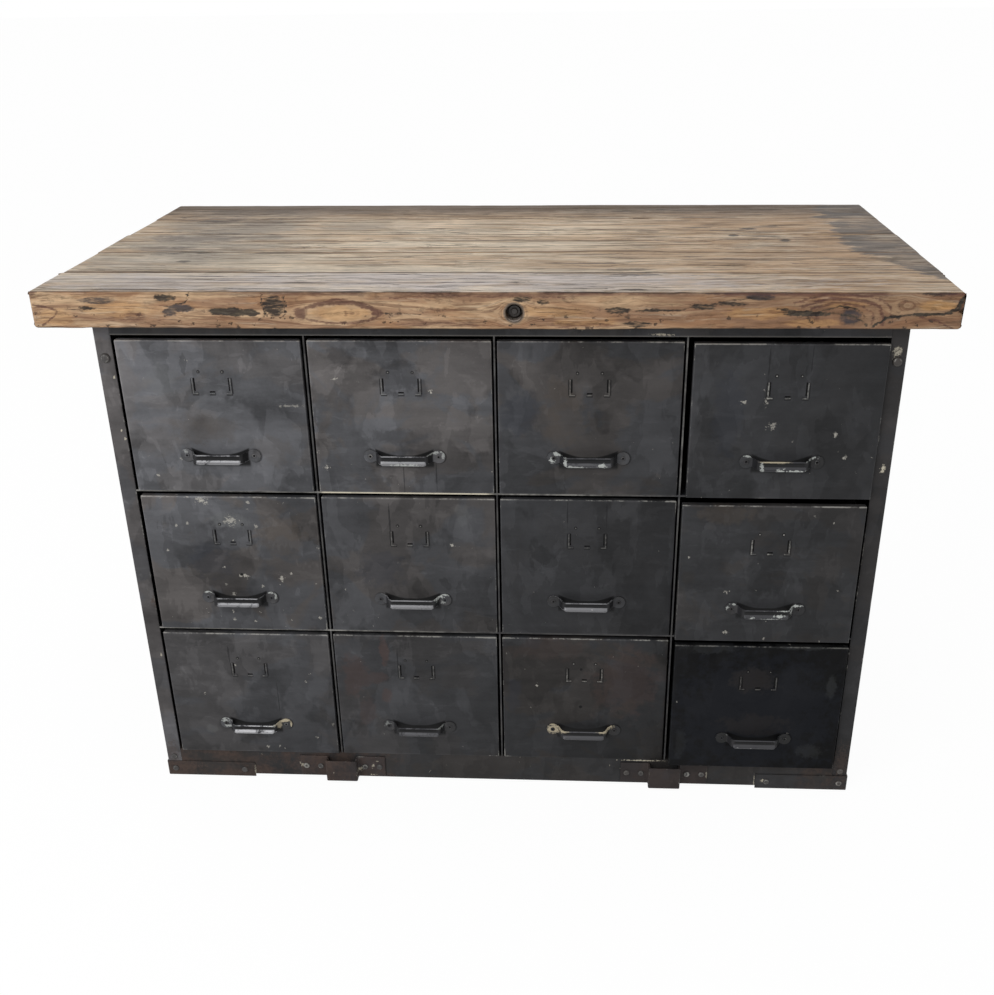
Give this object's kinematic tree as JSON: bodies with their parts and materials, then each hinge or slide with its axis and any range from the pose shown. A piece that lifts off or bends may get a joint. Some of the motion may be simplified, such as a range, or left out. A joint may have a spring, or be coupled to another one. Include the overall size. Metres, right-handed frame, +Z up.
{
  "type": "drawer cabinet",
  "caption": "Counter-height industrial steel cabinet with a grid of drawers on bow pulls, label tabs, riveted plinth and a thick plank worktop.",
  "frame": {"origin": "on the floor under the middle of the worktop", "axes": "+X to the right seen from the front, +Y to the back, +Z up; the drawers open towards -Y"},
  "size_m": [1.404, 0.755, 0.9305],
  "materials": {
    "timber": "weathered softwood planks, worn and stained",
    "post_steel": "worn grey-brown paint on angle",
    "carcass_steel": "dark worn paint, bare bright edges",
    "plinth_steel": "dark paint with brown rust",
    "drawer_steel": "satin dark grey, patchy and scratched",
    "pull_steel": "pressed steel, paint worn through",
    "fixing_steel": "domed rivets and bolts, dull"
  },
  "bodies": {
    "frame": {"plank_1": "timber", "plank_2": "timber", "plank_3": "timber", "plank_4": "timber", "plank_5": "timber", "post_front_left": "post_steel", "post_front_right": "post_steel", "post_back_right": "post_steel", "post_back_left": "post_steel", "top_frame": "carcass_steel", "side_left": "carcass_steel", "side_right": "carcass_steel", "back_panel": "carcass_steel", "divider_1": "carcass_steel", "divider_2": "carcass_steel", "divider_3": "carcass_steel", "shelf_upper": "carcass_steel", "shelf_lower": "carcass_steel", "base_pan": "plinth_steel", "socket_left": "plinth_steel", "socket_right": "plinth_steel", "corner_plate_left": "plinth_steel", "corner_plate_right": "plinth_steel", "fixings": "fixing_steel"},
    "drawer_11": {"tray_11": "drawer_steel", "front_11": "drawer_steel", "pull_11": "pull_steel"},
    "drawer_12": {"tray_12": "drawer_steel", "front_12": "drawer_steel", "pull_12": "pull_steel"},
    "drawer_13": {"tray_13": "drawer_steel", "front_13": "drawer_steel", "pull_13": "pull_steel"},
    "drawer_14": {"tray_14": "drawer_steel", "front_14": "drawer_steel", "pull_14": "pull_steel"},
    "drawer_21": {"tray_21": "drawer_steel", "front_21": "drawer_steel", "pull_21": "pull_steel"},
    "drawer_22": {"tray_22": "drawer_steel", "front_22": "drawer_steel", "pull_22": "pull_steel"},
    "drawer_23": {"tray_23": "drawer_steel", "front_23": "drawer_steel", "pull_23": "pull_steel"},
    "drawer_24": {"tray_24": "drawer_steel", "front_24": "drawer_steel", "pull_24": "pull_steel"},
    "drawer_31": {"tray_31": "drawer_steel", "front_31": "drawer_steel", "pull_31": "pull_steel"},
    "drawer_32": {"tray_32": "drawer_steel", "front_32": "drawer_steel", "pull_32": "pull_steel"},
    "drawer_33": {"tray_33": "drawer_steel", "front_33": "drawer_steel", "pull_33": "pull_steel"},
    "drawer_34": {"tray_34": "drawer_steel", "front_34": "drawer_steel", "pull_34": "pull_steel"}
  },
  "joints": [
    {"name": "drawer_11_slide", "type": "slide", "parent": "frame", "child": "drawer_11", "axis": [0, -1, 0], "range_m": [-0.002, 0.48]},
    {"name": "drawer_12_slide", "type": "slide", "parent": "frame", "child": "drawer_12", "axis": [0, -1, 0], "range_m": [0, 0.48]},
    {"name": "drawer_13_slide", "type": "slide", "parent": "frame", "child": "drawer_13", "axis": [0, -1, 0], "range_m": [0, 0.48]},
    {"name": "drawer_14_slide", "type": "slide", "parent": "frame", "child": "drawer_14", "axis": [0, -1, 0], "range_m": [-0.009, 0.48]},
    {"name": "drawer_21_slide", "type": "slide", "parent": "frame", "child": "drawer_21", "axis": [0, -1, 0], "range_m": [-0.002, 0.48]},
    {"name": "drawer_22_slide", "type": "slide", "parent": "frame", "child": "drawer_22", "axis": [0, -1, 0], "range_m": [0, 0.48]},
    {"name": "drawer_23_slide", "type": "slide", "parent": "frame", "child": "drawer_23", "axis": [0, -1, 0], "range_m": [0, 0.48]},
    {"name": "drawer_24_slide", "type": "slide", "parent": "frame", "child": "drawer_24", "axis": [0, -1, 0], "range_m": [-0.016, 0.48]},
    {"name": "drawer_31_slide", "type": "slide", "parent": "frame", "child": "drawer_31", "axis": [0, -1, 0], "range_m": [-0.002, 0.48]},
    {"name": "drawer_32_slide", "type": "slide", "parent": "frame", "child": "drawer_32", "axis": [0, -1, 0], "range_m": [0, 0.48]},
    {"name": "drawer_33_slide", "type": "slide", "parent": "frame", "child": "drawer_33", "axis": [0, -1, 0], "range_m": [0, 0.48]},
    {"name": "drawer_34_slide", "type": "slide", "parent": "frame", "child": "drawer_34", "axis": [0, -1, 0], "range_m": [-0.016, 0.48]}
  ]
}
